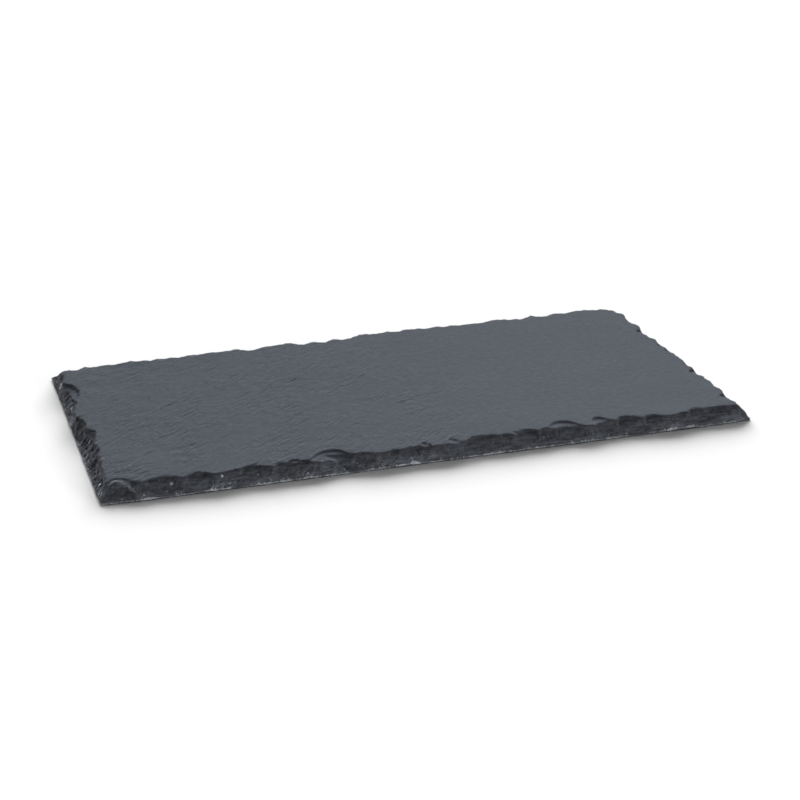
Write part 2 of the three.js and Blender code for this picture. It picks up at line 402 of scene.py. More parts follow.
def slab_slope(x, y):
    """How high the trimmed sides' slopes stand, from 0 at the rim to 1 on the serving face."""
    return over_sides(np.minimum, "edge", x, y)


# ---- Relief ----
broad_noise, ripple_noise, step_noise, mask_noise = (Noise() for _ in range(4))
lump_noise, layer_noise, grain_noise, curve_noise = (Noise() for _ in range(4))
RIPPLE_DIRECTION = 45  # of the cleft face's ripples, in degrees from +X
RIPPLE_PITCH = (11, 4)  # along and across that direction
BROAD_HEIGHT, RIPPLE_HEIGHT, STEP_HEIGHT = 0.05, 0.08, 0.05


def terraces(level, start, end):
    """What to add to level so that it climbs in whole steps, each between start and end of one."""
    part = level - np.floor(level)
    return step_up(part, start, end) - part


def cleft_relief(x, y):
    """Height of a cleft face over its mean plane."""
    warp_x = x + 3 * mask_noise(x / 22, y / 22) + 1.2 * mask_noise(x / 8 + 20, y / 8)
    warp_y = y + 3 * mask_noise(x / 22 + 50, y / 22) + 1.2 * mask_noise(x / 8 + 70, y / 8)
    along, across = along_grain(warp_x, warp_y, RIPPLE_DIRECTION)
    broad = BROAD_HEIGHT * broad_noise.fractal(x / 60, y / 45, 2)
    long, short = RIPPLE_PITCH
    ripples = ripple_noise(along / long, across / short)
    # Steeper towards the front
    ripples = ripple_noise(along / long, (across + 1.2 * ripples) / short)
    layers = 1.4 * step_noise.fractal(along / 30, across / 11, 3, 0.5)
    steps = STEP_HEIGHT * terraces(layers, 0.8, 1)
    # Strongest on the left half
    strength = 0.25 + 0.75 * step_up(-x + 12 * mask_noise(x / 40, y / 40), -60, 40)
    return broad + strength * (RIPPLE_HEIGHT * ripples + steps)


# Shell-shaped scars: how many on each side, their half width and half height, and their depth
SCARS = (
    (by_side(8, 6, 16, 6), (5, 10), (1.8, 3.6), (0.2, 0.5)),
    (by_side(90, 70, 110, 50), (2, 5), (0.8, 1.6), (0.06, 0.25)),
    (by_side(160, 70, 420, 50), (0.8, 2), (0.4, 0.8), (0.04, 0.16)),
)
# On each side, what their half width, half height and depth are multiplied by, and their lean
SCAR_SHAPE = by_side((1, 1, 1, 1.2), (1, 1, 1, -1.2), (0.55, 0.75, 2.2, 0), (0.8, 1, 1, 0.5))

FORM_LEAN = 0.4
# Scars (negative) and swellings (positive) that stand out: place along the side, distance from
# the rim, half width, half height, height
FORMS = {
    "front": [
        (-133, 5.6, 5, 3.6, 0.5), (-142, 6.4, 5, 2.4, -0.6), (-122, 4, 8, 2.4, -0.3),
        (-67, 6.2, 7, 2.6, 0.5), (-31, 5, 8, 2.6, 0.4), (121, 5, 6, 1.6, 0.35),
        (138, 4, 10, 3, 0.35),
    ],
    "left": [
        (-40, 4, 4, 2, -0.9), (-25, 5, 3, 1.8, -0.9), (2, 3.5, 4, 2, -0.9), (22, 3.4, 4, 1.6, 0.6),
        (60, 3.6, 3, 1.3, -0.9), (43, 3.4, 4, 1.6, -0.7), (-12, 4, 3.4, 2, -0.9),
    ],
}


def mound(x, y, at, inward, half_along, half_inward, lean):
    """1 in the middle of a leaning oval on a side, falling to 0 at its border.

    Also how far up the oval a point lies, from -1 to 1.
    """
    up = (y - inward) / half_inward
    offset = (x - at - lean * (y - inward)) / half_along
    return np.maximum(0, 1 - offset**2 - up**2), up


def slope_ends(name, stations):
    """How far in from the rim a side's slope ends, at each place along it."""
    inward = np.arange(0, RASTER_REACH - 1, RASTER_INWARD)
    edge = RASTERS[name].sample("edge", stations[:, None], inward)
    return inward[np.argmax(edge > ON_FACE, axis=1)]


def scarred(x, y):
    """Depth of the scars on the trimmed sides, deepest towards their upper edge."""
    scars = np.zeros_like(x)
    for name, (along, inward) in side_places(x, y).items():
        half = half_side(name)
        wider, higher, deeper, usual_lean = SCAR_SHAPE[name]
        stations = np.linspace(-half, half, 200)
        ends = slope_ends(name, stations)
        for counts, widths, heights, depths in SCARS:
            count = counts[name]
            at = rng.uniform(-half, half, count)
            middle = rng.uniform(0.05, 0.85, count) * np.interp(at, stations, ends)
            half_along = wider * rng.uniform(*widths, count)
            half_inward = higher * rng.uniform(*heights, count)
            taken = deeper * rng.uniform(*depths, count)
            lean = usual_lean + rng.normal(0, 0.4, count)
            for *oval, depth in zip(at, middle, half_along, half_inward, lean, taken):
                bite, up = mound(along, inward, *oval)
                scars = np.maximum(scars, depth * bite * (0.65 + 0.35 * up))
    return scars


def formed(x, y):
    """Height of the forms that stand out."""
    height = np.zeros_like(x)
    for name, (along, inward) in side_places(x, y).items():
        for *oval, rise in FORMS.get(name, ()):
            bite, up = mound(along, inward, *oval, FORM_LEAN)
            height = height + rise * bite * (1 if rise > 0 else 0.75 + 0.25 * up)
    return height


def nearest_side(x, y):
    """Each side's share in blends of their reliefs: 1 where it is nearest by 2 mm."""
    least = nearest_rim(x, y)
    sides = side_places(x, y).items()
    weights = {name: step_up(least - inward, -2, 0) for name, (_, inward) in sides}
    total = sum(weights.values())
    return {name: weight / total for name, weight in weights.items()}


# The sides' relief: its strength next to the front's, how high its grains stand, and the
# direction (degrees from +X) and pitch of its lumps
ROUGHNESS = by_side(1, 1, 1.2, 1)
GRAIN_HEIGHT = by_side(0.035, 0.035, 0.12, 0.05)
LUMP_DIRECTION = by_side(14, -14, 80, 80)
LUMP_PITCH = by_side((12, 3.6), (10, 3.6), (4, 2.4), (8, 3.6))
# The pale band along the rim is bruised stone and, in part, painted light on the flatter low
# slope.
BRUISED_AND_LIT = by_side(1, 0, 0.35, 0.2)  # how pale the band along the rim is
BEDDING_PITCH = 0.8  # of the layers that show on the sides
LEAST_HEIGHT = 0.3  # of the upper surface


def chipped_relief(x, y, slope):
    """Height that scars, bedding layers, lumps and grains add to the trimmed sides."""
    roughness = lumps = grain_height = 0
    for name, share in nearest_side(x, y).items():
        along, across = along_grain(x, y, LUMP_DIRECTION[name])
        long, short = LUMP_PITCH[name]
        lumps = lumps + share * lump_noise.fractal(along / long, across / short, 5, 0.6)
        roughness = roughness + share * ROUGHNESS[name]
        grain_height = grain_height + share * GRAIN_HEIGHT[name]
    ragged = 0.5 * layer_noise.fractal(x / 14, y / 9, 4, 0.6) + 0.3 * lumps
    strength = step_up(layer_noise(x / 14 + 90, y / 14), -0.4, 1.2)
    levels = (slope * THICKNESS + ragged) / BEDDING_PITCH
    steps = BEDDING_PITCH * strength * terraces(levels, 0.4, 1)
    grains = grain_height * grain_noise.fractal(x / 1.1, y / 1.1, 2, 0.8)
    relief = 0.15 * lumps + 0.8 * steps + grains - scarred(x, y)
    return roughness * relief + formed(x, y)


def top_height(x, y):
    """Height of the upper surface, and how cleft it is: 0 on the sides and 1 on the face."""
    edge = slab_slope(x, y)
    crisp = over_sides(np.maximum, "crisp", x, y)
    wear = step_up(curve_noise(x / 10 + 30, y / 10), -0.3, 1.5) * (1 - crisp)
    soft = over_sides(np.minimum, "soft", x, y)
    worn = over_sides(np.minimum, "worn", x, y)
    slope = soft * (1 - wear) + worn * wear
    floor = over_sides(np.maximum, "floor", x, y)
    shape = slope ** (1.05 + 0.25 * curve_noise(x / 25, y / 25) * (1 - floor))
    cleft = np.maximum(step_up(edge, 0.93, 1), 0.8 * floor)
    settle = step_up(slope, 0, 0.15)
    relief = cleft_relief(x, y) * slope + chipped_relief(x, y, shape) * (1 - cleft) * settle
    height = RIM_HEIGHT + (THICKNESS - RIM_HEIGHT) * shape + relief
    return np.maximum(height, LEAST_HEIGHT), cleft


# Pale crushed spots that stand out: place along the side, distance from the rim, half width,
# half height, strength
FLECKS = {
    "front": [
        (-148.5, 6.8, 0.9, 0.9, 0.55), (-145, 9.4, 1.2, 0.6, 0.36), (-140.6, 9.8, 1, 0.6, 0.3),
        (-139, 4, 1, 0.5, 0.32), (-136, 5.5, 1.5, 0.5, 0.27), (-121.5, 3.4, 0.6, 0.6, 0.34),
        (-119, 6.2, 1.4, 0.5, 0.38), (-112, 2, 0.8, 0.5, 0.32), (-106, 4.5, 0.8, 0.8, 0.3),
        (-97.5, 5, 1.2, 1, 0.34), (-85, 4, 0.6, 0.5, 0.3), (-82, 4.6, 0.6, 0.5, 0.3),
        (-53, 3.4, 4, 1, 0.25), (-40, 5, 4, 0.8, 0.25), (43, 4, 0.8, 0.6, 0.3),
        (49, 5, 0.9, 0.9, 0.32), (61, 2.3, 0.8, 0.7, 0.34), (-143, 0.3, 2.4, 0.8, 0.38),
        (-135, 0.3, 1, 0.6, 0.3), (-105.5, 0.3, 1, 0.6, 0.34), (-100, 0.3, 2, 0.7, 0.34),
        (-82, 0.4, 3, 0.9, 0.32), (-72, 0.3, 1.8, 0.8, 0.45), (-46, 1.2, 0.7, 1.6, 0.34),
        (-18, 0.5, 3, 1, 0.29), (6.5, 0.4, 3, 1, 0.3), (19, 0.4, 1.6, 0.8, 0.45),
        (31, 0.4, 2, 0.8, 0.34), (44, 0.3, 5, 0.7, 0.34), (50.5, 0.4, 2, 0.8, 0.34),
        (60, 0.8, 2.6, 1.4, 0.34), (68.5, 0.4, 1, 0.8, 0.45), (76.5, 0.4, 2.4, 0.9, 0.3),
        (87, 0.8, 5, 1.5, 0.42), (109.5, 0.7, 4, 1, 0.4), (119.5, 1, 4.5, 1.3, 0.42),
        (130, 0.3, 4, 0.7, 0.32),
    ],
    "left": [
        (-61, 2.3, 1.6, 1, 0.45), (-42, 5.5, 1.6, 0.8, 0.34), (-24, 6.8, 1.2, 0.8, 0.34),
        (-10, 0.7, 1.4, 0.8, 0.38), (25, 3.2, 1.2, 0.8, 0.41), (55, 2.2, 2, 1, 0.45),
    ],
}
# How strong the crushed line along the rim is on each side, and the patches scattered over it
RIM_CRUSHED = by_side(1, 0.3, 0.15, 0.45)
SCATTERED = by_side(1, 0.3, 1.1, 0.45)
fleck_noise = Noise()


def flecks(x, y):
    """How crushed the stone is: along the rim, in patches, and at the spots that stand out."""
    patches = step_up(fleck_noise.fractal(x / 7, y / 7, 4, 0.7), -0.8, 1.4)
    reach = 0.5 + 0.8 * step_up(fleck_noise.fractal(x / 3 + 70, y / 3, 3, 0.7), -0.6, 1.6)
    crushed = np.zeros_like(x)
    for name, (along, inward) in side_places(x, y).items():
        rim = (0.35 + 0.2 * patches) * np.exp(-(((inward - 0.5) / reach) ** 2))
        scattered = patches * (0.13 + 0.13 * (1 - step_up(inward, 0.5, 6)))
        there = np.maximum(RIM_CRUSHED[name] * rim, SCATTERED[name] * scattered)
        crushed = np.maximum(crushed, there)
        for at, middle, half_along, half_inward, strength in FLECKS.get(name, ()):
            distance = ((along - at) / half_along) ** 2 + ((inward - middle) / half_inward) ** 2
            crushed = np.maximum(crushed, strength * np.exp(-distance))
    return crushed


def bruised_and_lit(x, y):
    """How far a point is within the pale band along the rim: bruised stone, and in part painted
    light.
    """
    shares = nearest_side(x, y)
    strength = sum(share * BRUISED_AND_LIT[name] for name, share in shares.items())
    return (1 - step_up(nearest_rim(x, y), 0.6, 5)) * strength


# The pale crest, a painted highlight on the edge of the front left corner's flake: the stretch of
# the edge that it follows, as shares of the flake's extents, its reach in the middle, and its half
# widths
CREST_STRETCH = (-0.37, 0.76)
CREST_REACH = 11.5
CREST_ROUNDNESS = 1.7
CREST_END, CREST_MIDDLE = 0.25, 1.1
CREST_POINTS = 12


def crest_line():
    """The crest's points: place along the front, distance from the rim, half width."""
    at, before, after, _, _ = SIDES["front"]["thin"][0]
    share = np.linspace(0, 1, CREST_POINTS)
    across = np.interp(share, (0, 1), CREST_STRETCH)
    place = at + across * np.where(across < 0, before, after)
    reach = CREST_REACH * (1 - np.abs(across) ** CREST_ROUNDNESS)
    width = CREST_END + (CREST_MIDDLE - CREST_END) * np.sin(math.pi * share) ** 2
    return list(zip(place, reach, width))


def crest_nearness(x, y):
    """How close a point lies to the crest's painted highlight, from 1 on it to 0."""
    near = np.zeros_like(x)
    along, inward = side_places(x, y)["front"]
    line = crest_line()
    for start, end in zip(line, line[1:]):
        place, reach, width = start
        run, climb, widening = np.subtract(end, start)
        share = (along - place) * run + (inward - reach) * climb
        share = np.clip(share / (run**2 + climb**2), 0, 1)
        distance = np.hypot(along - place - run * share, inward - reach - climb * share)
        near = np.maximum(near, np.exp(-((distance / (width + widening * share)) ** 2)))
    return near


underside_noise = Noise()
UNDERSIDE_RELIEF = 0.12


def underside_height(x, y):
    """The hidden face is cleft too: it rests on its high spots and is never below the table."""
    hollow = 0.4 * underside_noise.fractal(x / 35, y / 25, 3) + 0.35
    return UNDERSIDE_RELIEF * np.clip(hollow, 0, 1) * step_up(nearest_rim(x, y), 0.5, 6)


# ---- Mesh ----
def unit(vectors):
    """Vectors in the same directions, each of length 1."""
    return vectors / np.linalg.norm(vectors, axis=-1, keepdims=True)


def outline_corners():
    """The four corners, anticlockwise from the front left."""
    x = np.array([-HALF_LENGTH, HALF_LENGTH, HALF_LENGTH, -HALF_LENGTH])
    return np.stack([x, np.concatenate([front_edge(x[:2]), back_edge(x[2:])])], 1)


def side_points(i, count):
    """count points along side i of the outline, from its first corner up to its second."""
    start, end = outline_corners()[[i, (i + 1) % 4]]
    share = np.arange(count) / count
    points = start + np.outer(share, end - start)
    if i == 0:
        points[:, 1] = front_edge(points[:, 0])
    return points


def round_corners(points, counts):
    """Draws the outline in at its corners, so that each is a curve."""
    rounded = points.copy()
    starts = np.cumsum([0, *counts[:-1]])
    for corner, radius, start in zip(outline_corners(), CORNER_RADII, starts):
        before, after = unit(points[[start - 1, start + 1]] - corner)
        for k in range(-len(points) // 8, len(points) // 8):
            i = (start + k) % len(points)
            distance = np.linalg.norm(points[i] - corner)
            if distance < radius:
                share = 0.5 + 0.5 * (distance / radius) * (1 if k > 0 else -1)
                rounded[i] = corner + radius * ((1 - share) ** 2 * before + share**2 * after)
    return rounded


rim_noise = Noise()
RIM_WANDER, NICK_DEPTH, RIM_INSET = 0.1, 0.35, 0.1


def rim_points(counts):
    """The rim's stations, with the small nicks and wander of a broken edge."""
    points = np.concatenate([side_points(i, count) for i, count in enumerate(counts)])
    points = round_corners(points, counts)
    ahead, behind = np.roll(points, -3, 0), np.roll(points, 3, 0)
    tangent = unit(ahead - behind)
    outward = np.stack([tangent[:, 1], -tangent[:, 0]], 1)
    x, y = points.T
    wander = RIM_WANDER * rim_noise.fractal(x / 6, y / 6, 4, 0.6)
    nicks = -NICK_DEPTH * step_up(rim_noise(x / 2.2 + 40, y / 2.2), 1.0, 2.2)
    return points + outward * (wander + nicks - RIM_INSET)[:, None]


def grid_axis(half, before, after):
    """Places along one axis of the serving face's grid, an even number of steps."""
    start, end = GRID_MARGIN[before] - half, half - GRID_MARGIN[after]
    return np.linspace(start, end, 2 * round((end - start) / GRID_PITCH / 2) + 1)


def loop_of(grid):
    """The border of a grid of vertex numbers or points, anticlockwise from the front left."""
    return np.concatenate([grid[0, :-1], grid[:-1, -1], grid[-1, :0:-1], grid[:0:-1, 0]])


def finer_loop(loop, times):
    """A loop with each of its steps cut into a number of equal parts."""
    ahead = np.roll(loop, -1, 0)
    return np.stack([loop + (ahead - loop) * k / times for k in range(times)], 1).reshape(-1, 2)


def shoulders(rim, inner):
    """For each station, the share of the way from rim to inner where the slope ends."""
    low, high = np.zeros(len(rim)), np.ones(len(rim))
    for _ in range(BISECTIONS):
        middle = (low + high) / 2
        points = rim + (inner - rim) * middle[:, None]
        below = slab_slope(*points.T) < 0.999
        low, high = np.where(below, middle, low), np.where(below, high, middle)
    return high


def evened(share):
    """The shares raised a little past the slope's end, and smoothed along the rim."""
    reach = 3 * STATIONS_PER_STEP
    highest = np.maximum.reduce([np.roll(share, k) for k in range(-reach, reach + 1)])
    weights = np.hanning(2 * reach + 3)[1:-1] / (reach + 1)
    return SHOULDER_MARGIN + sum(w * np.roll(highest, k - reach) for k, w in enumerate(weights))


def around(values, rings, stations):
    """The mean of each value's neighbours, so many rings and stations either way."""
    padded = np.pad(values, ((rings, rings), (0, 0)), mode="reflect", reflect_type="odd")
    total = sum(padded[k : k + len(values)] for k in range(2 * rings + 1)) / (2 * rings + 1)
    shifts = range(-stations, stations + 1)
    return sum(np.roll(total, k, 1) for k in shifts) / len(shifts)


class MeshParts:
    """Vertices and faces gathered from loops and grids."""

    def __init__(self):
        self.points, self.faces, self.count = [], [], 0

    def add(self, points, height):
        """Adds points with their heights, and returns their vertex numbers in the same layout."""
        layout = points.shape[:-1]
        flat = np.concatenate([points, np.broadcast_to(height, layout)[..., None]], -1)
        self.points.append(flat.reshape(-1, 3))
        numbers = self.count + np.arange(math.prod(layout)).reshape(layout)
        self.count += numbers.size
        return numbers

    def keep(self, corners, up):
        """Keeps faces, from an array of vertex numbers for each corner."""
        corners = np.stack([c.ravel() for c in corners], 1)
        self.faces.append(corners if up else corners[:, ::-1])

    def join(self, outer, inner, up):
        """Quads between two loops of the same length, or triangles to one of half the length."""
        if len(outer) == len(inner):
            self.keep([outer, np.roll(outer, -1), np.roll(inner, -1), inner], up)
            return
        first, middle, last = outer[0::2], outer[1::2], np.roll(outer[0::2], -1)
        ahead = np.roll(inner, -1)
        self.keep([first, middle, inner], up)
        self.keep([middle, ahead, inner], up)
        self.keep([middle, last, ahead], up)

    def fill(self, grid, up):
        self.keep([grid[:-1, :-1], grid[:-1, 1:], grid[1:, 1:], grid[1:, :-1]], up)

    def write(self, name):
        mesh = bpy.data.meshes.new(name)
        sizes = np.concatenate([np.full(len(f), f.shape[1]) for f in self.faces])
        corners = np.concatenate([f.ravel() for f in self.faces])
        points = np.concatenate(self.points) * MM
        mesh.vertices.add(len(points))
        mesh.vertices.foreach_set("co", points.astype(np.float32).ravel())
        mesh.loops.add(len(corners))
        mesh.loops.foreach_set("vertex_index", corners.astype(np.int32))
        mesh.polygons.add(len(sizes))
        mesh.polygons.foreach_set("loop_start", (np.cumsum(sizes) - sizes).astype(np.int32))
        mesh.update(calc_edges=True)
        mesh.validate()
        return mesh


def add_slopes(parts, rim, shoulder):
    """The trimmed sides, ring by ring. Returns their rings, and per-vertex values by name."""
    shares = np.linspace(0, 1, SLOPE_RINGS + 1)[:, None, None]
    rings = rim + (shoulder - rim) * shares
    x, y = rings[..., 0], rings[..., 1]
    height, cleft = top_height(x, y)
    loops = parts.add(rings, height)
    for outer, inner in zip(loops, loops[1:]):
        parts.join(outer, inner, True)
    ridge = (height - around(height, 2, 4)) * (1 - cleft) * step_up(shares[..., 0], 0, 0.1)
    return loops, {
        "cleft": cleft,
        "rise": (height - RIM_HEIGHT) / (THICKNESS - RIM_HEIGHT),
        "ridge": ridge,
        "low": bruised_and_lit(x, y),
        "fleck": flecks(x, y),
        "crest": crest_nearness(x, y),
    }


def add_serving_face(parts, outer, shoulder, border, grid):
    """The face, in coarser rings and then a grid. Returns how cleft its vertices are."""
    clefts = []
    for k in range(1, FACE_RINGS + 1):
        share = (k / (FACE_RINGS + 1)) ** FACE_RING_GROWTH
        ring = shoulder + (border - shoulder) * share
        if k > 1:
            ring = ring[::2]
        height, cleft = top_height(*ring.T)
        inner = parts.add(ring, height)
        parts.join(outer, inner, True)
        clefts.append(cleft)
        outer = inner
    height, cleft = top_height(grid[..., 0], grid[..., 1])
    face = parts.add(grid, height)
    parts.join(outer, loop_of(face), True)
    parts.fill(face, True)
    return np.concatenate([*clefts, cleft.ravel()])


def add_underside(parts, outer, rim, border, grid):
    """The rim's underhang, and the hidden face."""
    towards = unit(border - rim)
    rings = [(rim + towards * inset, height) for inset, height in UNDERHANG_RINGS]
    for share, step in UNDERSIDE_RINGS:
        ring = (rim + (border - rim) * share)[::step]
        rings.append((ring, underside_height(*ring.T)))
    for ring, height in rings:
        inner = parts.add(ring, height)
        parts.join(outer, inner, False)
        outer = inner
    coarse = grid[::2, ::2]
    bottom = parts.add(coarse, underside_height(coarse[..., 0], coarse[..., 1]))
    parts.join(outer, loop_of(bottom), False)
    parts.fill(bottom, False)


def slab_mesh():
    """The whole slab. Returns its mesh and a dictionary of per-vertex values."""
    parts = MeshParts()
    xs = grid_axis(HALF_LENGTH, "left", "right")
    ys = grid_axis(HALF_DEPTH, "front", "back")
    grid = np.stack(np.meshgrid(xs, ys), -1)
    border = finer_loop(loop_of(grid), STATIONS_PER_STEP)
    rim = rim_points([STATIONS_PER_STEP * (len(axis) - 1) for axis in (xs, ys, xs, ys)])
    share = evened(shoulders(rim, border))[:, None]
    shoulder = rim + (border - rim) * share

    loops, on_slopes = add_slopes(parts, rim, shoulder)
    face_cleft = add_serving_face(parts, loops[-1], shoulder, border, grid)
    above = parts.count
    add_underside(parts, loops[0], rim, border, grid)

    # The slopes' vertices come first, then the face's, the underhang's and the underside's
    values = {name: np.zeros(parts.count) for name in on_slopes}
    values["rise"] -= 1
    for name, value in on_slopes.items():
        values[name][: value.size] = value.ravel()
    values["cleft"][loops.size : above] = face_cleft
    values["cleft"][above + len(UNDERHANG_RINGS) * len(rim) :] = 1
    values["under"] = np.arange(parts.count) >= above
    return parts.write("slate_slab_fine"), values


def add_attributes(mesh, values):
    """Float attributes that the material reads."""
    for name, value in values.items():
        attribute = mesh.attributes.new(name, "FLOAT", "POINT")
        attribute.data.foreach_set("value", value.astype(np.float32))


def read(collection, name, kind, width=1):
    """One property of every item of a collection."""
    values = np.empty(len(collection) * width, kind)
    collection.foreach_get(name, values)
    return values


def add_flat_map(mesh, under):
    """A UV map with the upper surface on one half and the underside on the other."""
    corners = read(mesh.loops, "vertex_index", np.int32)
    points = read(mesh.vertices, "co", np.float32, 3).reshape(-1, 3)[corners] / MM
    starts = read(mesh.polygons, "loop_start", np.int32)
    sizes = read(mesh.polygons, "loop_total", np.int32)
    face_under = np.maximum.reduceat(under[corners].astype(int), starts)
    corner_under = np.repeat(face_under, sizes)
    side = 2 * DEPTH + 4 * MAP_MARGIN
    u = (points[:, 0] + side / 2) / side
    v = (points[:, 1] + HALF_DEPTH + MAP_MARGIN) / side + 0.5 * corner_under
    layer = mesh.uv_layers.new(name="OFBake")
    layer.data.foreach_set("uv", np.stack([u, v], 1).astype(np.float32).ravel())


# ---- Materials ----
class Nodes:
    """Short names for the shader nodes of a material or the world."""

    def __init__(self, owner):
        owner.use_nodes = True
        self.tree = owner.node_tree
        self.tree.nodes.clear()

    def add(self, kind, inputs, **settings):
        """A new node with values or other nodes' outputs on its inputs, by name or number."""
        node = self.tree.nodes.new("ShaderNode" + kind)
        for name, value in settings.items():
            setattr(node, name, value)
        for socket, value in inputs.items():
            if isinstance(value, bpy.types.NodeSocket):
                self.tree.links.new(value, node.inputs[socket])
            else:
                node.inputs[socket].default_value = value
        return node

    def coordinates(self):
        return self.add("TexCoord", {}).outputs["Object"]

    def place(self, pitch, degrees, middle=(0, 0, 0)):
        """Object coordinates from a middle, in units of a pitch, along axes turned about Z."""
        inputs = {
            "Vector": self.coordinates(),
            "Location": MM * np.array(middle),
            "Rotation": (0, 0, math.radians(degrees)),
            "Scale": MM * np.broadcast_to(pitch, 3),
        }
        return self.add("Mapping", inputs, vector_type="TEXTURE").outputs["Vector"]

    def noise(self, pitch, detail=3.0, roughness=0.55, distortion=0.0, degrees=0.0):
        """Noise with one pitch in millimetres, or one for each axis."""
        inputs = {
            "Vector": self.place(pitch, degrees),
            "Scale": 1.0,
            "Detail": detail,
            "Roughness": roughness,
            "Distortion": distortion,
        }
        return self.add("TexNoise", inputs).outputs["Fac"]

    def along_x(self):
        """The object's X coordinate, in metres."""
        return self.add("SeparateXYZ", {0: self.coordinates()}).outputs["X"]

    def attribute(self, name):
        return self.add("Attribute", {}, attribute_name=name).outputs["Fac"]

    def math(self, operation, a, b=0.0, clamp=False):
        return self.add("Math", {0: a, 1: b}, operation=operation, use_clamp=clamp).outputs[0]

    def product(self, *factors):
        return functools.reduce(lambda a, b: self.math("MULTIPLY", a, b), factors)

    def ramp(self, value, low, high, out_low=0.0, out_high=1.0):
        """Maps low..high smoothly to out_low..out_high, and stops there."""
        inputs = dict(enumerate((value, low, high, out_low, out_high)))
        return self.add("MapRange", inputs, interpolation_type="SMOOTHSTEP").outputs["Result"]

    def blend(self, share, a, b, kind="MIX"):
        inputs = {0: share, 6: a, 7: b}
        return self.add("Mix", inputs, data_type="RGBA", blend_type=kind).outputs[2]

    def shade(self, colour, factor):
        """A colour made lighter or darker by a factor."""
        return self.blend(1.0, colour, factor, "MULTIPLY")

    def bump(self, height, distance, **normal):
        """A normal tilted by a relief that is so many millimetres high."""
        inputs = {"Height": height, "Distance": MM * distance, **normal}
        return self.add("Bump", inputs).outputs["Normal"]


CLEFT = (0.0795, 0.0895, 0.1055, 1)
CHIP_DARK = (0.080, 0.087, 0.103, 1)
CHIP_MIDDLE = (0.132, 0.142, 0.164, 1)
CHIP_BROWN = (0.088, 0.084, 0.082, 1)
CHIP_LIGHT = (0.190, 0.203, 0.232, 1)
CRUSHED = (0.80, 0.84, 0.90, 1)
FLOOR_WHITE = (0.9, 0.9, 0.9, 1)
CLEFT_ROUGHNESS = (0.5, 0.6)
CHIP_EXTRA_ROUGHNESS = 0.08
FINE_BUMP, CLEFT_BUMP, CHIP_BUMP = 0.02, 0.12, 0.16  # heights of the bumps

# Painted shade: dark marks where lifted edges of layers shade the face. Their places are shares of
# half its length and depth.
MARK_COUNT = 9
MARK_PLACES = ((-0.85, 0.1), (-0.7, 0.5))
MARK_TURN = (-10, 8)  # degrees from the ripples: mean and spread
MARK_HALF_LENGTH, MARK_HALF_WIDTH = (2.5, 8), (0.8, 1.1)
MARK_SHADE = 0.45  # brightness in the middle of a mark, as a share of the stone around it


def with_painted_shade_marks(n, colour):
    """A colour with painted shade marks scattered at random over the face's left part."""
    for _ in range(MARK_COUNT):
        x = HALF_LENGTH * rng.uniform(*MARK_PLACES[0])
        y = HALF_DEPTH * rng.uniform(*MARK_PLACES[1])
        degrees = RIPPLE_DIRECTION + rng.normal(*MARK_TURN)
        half_along = rng.uniform(*MARK_HALF_LENGTH)
        half_across = rng.uniform(*MARK_HALF_WIDTH)
        place = n.place((half_along, half_across, 1), degrees, (x, y, THICKNESS))
        mark = n.add("TexGradient", {0: place}, gradient_type="SPHERICAL").outputs["Fac"]
        colour = n.shade(colour, n.ramp(mark, 0.0, 0.9, 1.0, MARK_SHADE))
    return colour


def cleft_colour(n):
    """Cloudy, finely speckled, and a little paler towards the right, which is painted light."""
    cloud = n.ramp(n.noise((30, 18, 30), 4.0, 0.6), 0.3, 0.7, 0.975, 1.03)
    speckle = n.ramp(n.noise(0.7, 2.0), 0.3, 0.7, 0.94, 1.06)
    colour = n.shade(CLEFT, n.product(cloud, speckle))
    # Painted light: the face grows a little paler towards the right.
    colour = n.shade(colour, n.ramp(n.along_x(), -0.15, 0.15, 0.97, 1.09))
    return with_painted_shade_marks(n, colour)


def chip_colour(n):
    """Painted shade in hollows and at the edges, pale ridges partly painted highlight, a grey band
    towards the rim bruised and partly painted light, and worn spots.
    """
    low, ridge, rise = map(n.attribute, ("low", "ridge", "rise"))
    streak = n.ramp(n.noise((9, 9, 0.55), 3.0, 0.6, 0.5), 0.40, 0.62)
    colour = n.blend(streak, CHIP_DARK, CHIP_MIDDLE)
    brown = n.ramp(n.noise((9, 9, 5), 3.0, 0.6), 0.54, 0.66, 0.0, 0.55)
    colour = n.blend(brown, colour, CHIP_BROWN)
    # Painted shade: darker in hollows, where the relief is concave.
    hollow = n.ramp(ridge, -0.20, 0.02, 0.70, 1.0)
    # The band along the rim: bruised stone, and in part painted light.
    bruise_and_light = n.ramp(low, 0.0, 1.0, 1.0, 1.7)
    # Painted shade: darker just below the serving face's edge.
    shade_under_edge = n.ramp(rise, 0.50, 0.95, 1.0, 0.72)
    colour = n.shade(colour, n.product(hollow, bruise_and_light, shade_under_edge))
    # Painted shadow: the underhang below the rim is darkened, like a contact shadow.
    colour = n.shade(colour, n.ramp(rise, -0.04, -0.01, 0.4, 1.0))
    # Paler on ridges: partly edge wear, partly a painted highlight.
    colour = n.blend(n.ramp(ridge, 0.02, 0.16, 0.0, 0.18), colour, CHIP_LIGHT)
    # Pale mottling in that band: bruised stone, and in part painted light.
    mottle = n.ramp(n.noise((0.9, 0.9, 0.7), 3.0, 0.7), 0.48, 0.64)
    colour = n.blend(n.product(low, 0.55, mottle), colour, CHIP_LIGHT)
    patchy = n.ramp(n.noise(0.8, 2.0), 0.40, 0.56)
    worn = n.product(n.ramp(n.attribute("fleck"), 0.15, 0.45), patchy)
    return n.blend(worn, colour, CHIP_LIGHT)


def with_crest_highlight_and_crushed_stone(n, colour, chipped):
    """A colour with the crest's painted highlight, broken up, and the crushed grains on it."""
    broken_up = n.ramp(n.noise(1.2, 2.0, 0.6), 0.35, 0.62, 0.12, 0.5)
    colour = n.blend(n.product(n.attribute("crest"), broken_up), colour, CRUSHED)
    grain = n.math("ADD", n.noise(0.7, 2.0, 0.7), n.attribute("fleck"))
    return n.blend(n.product(n.ramp(grain, 0.78, 0.93), chipped), colour, CRUSHED)


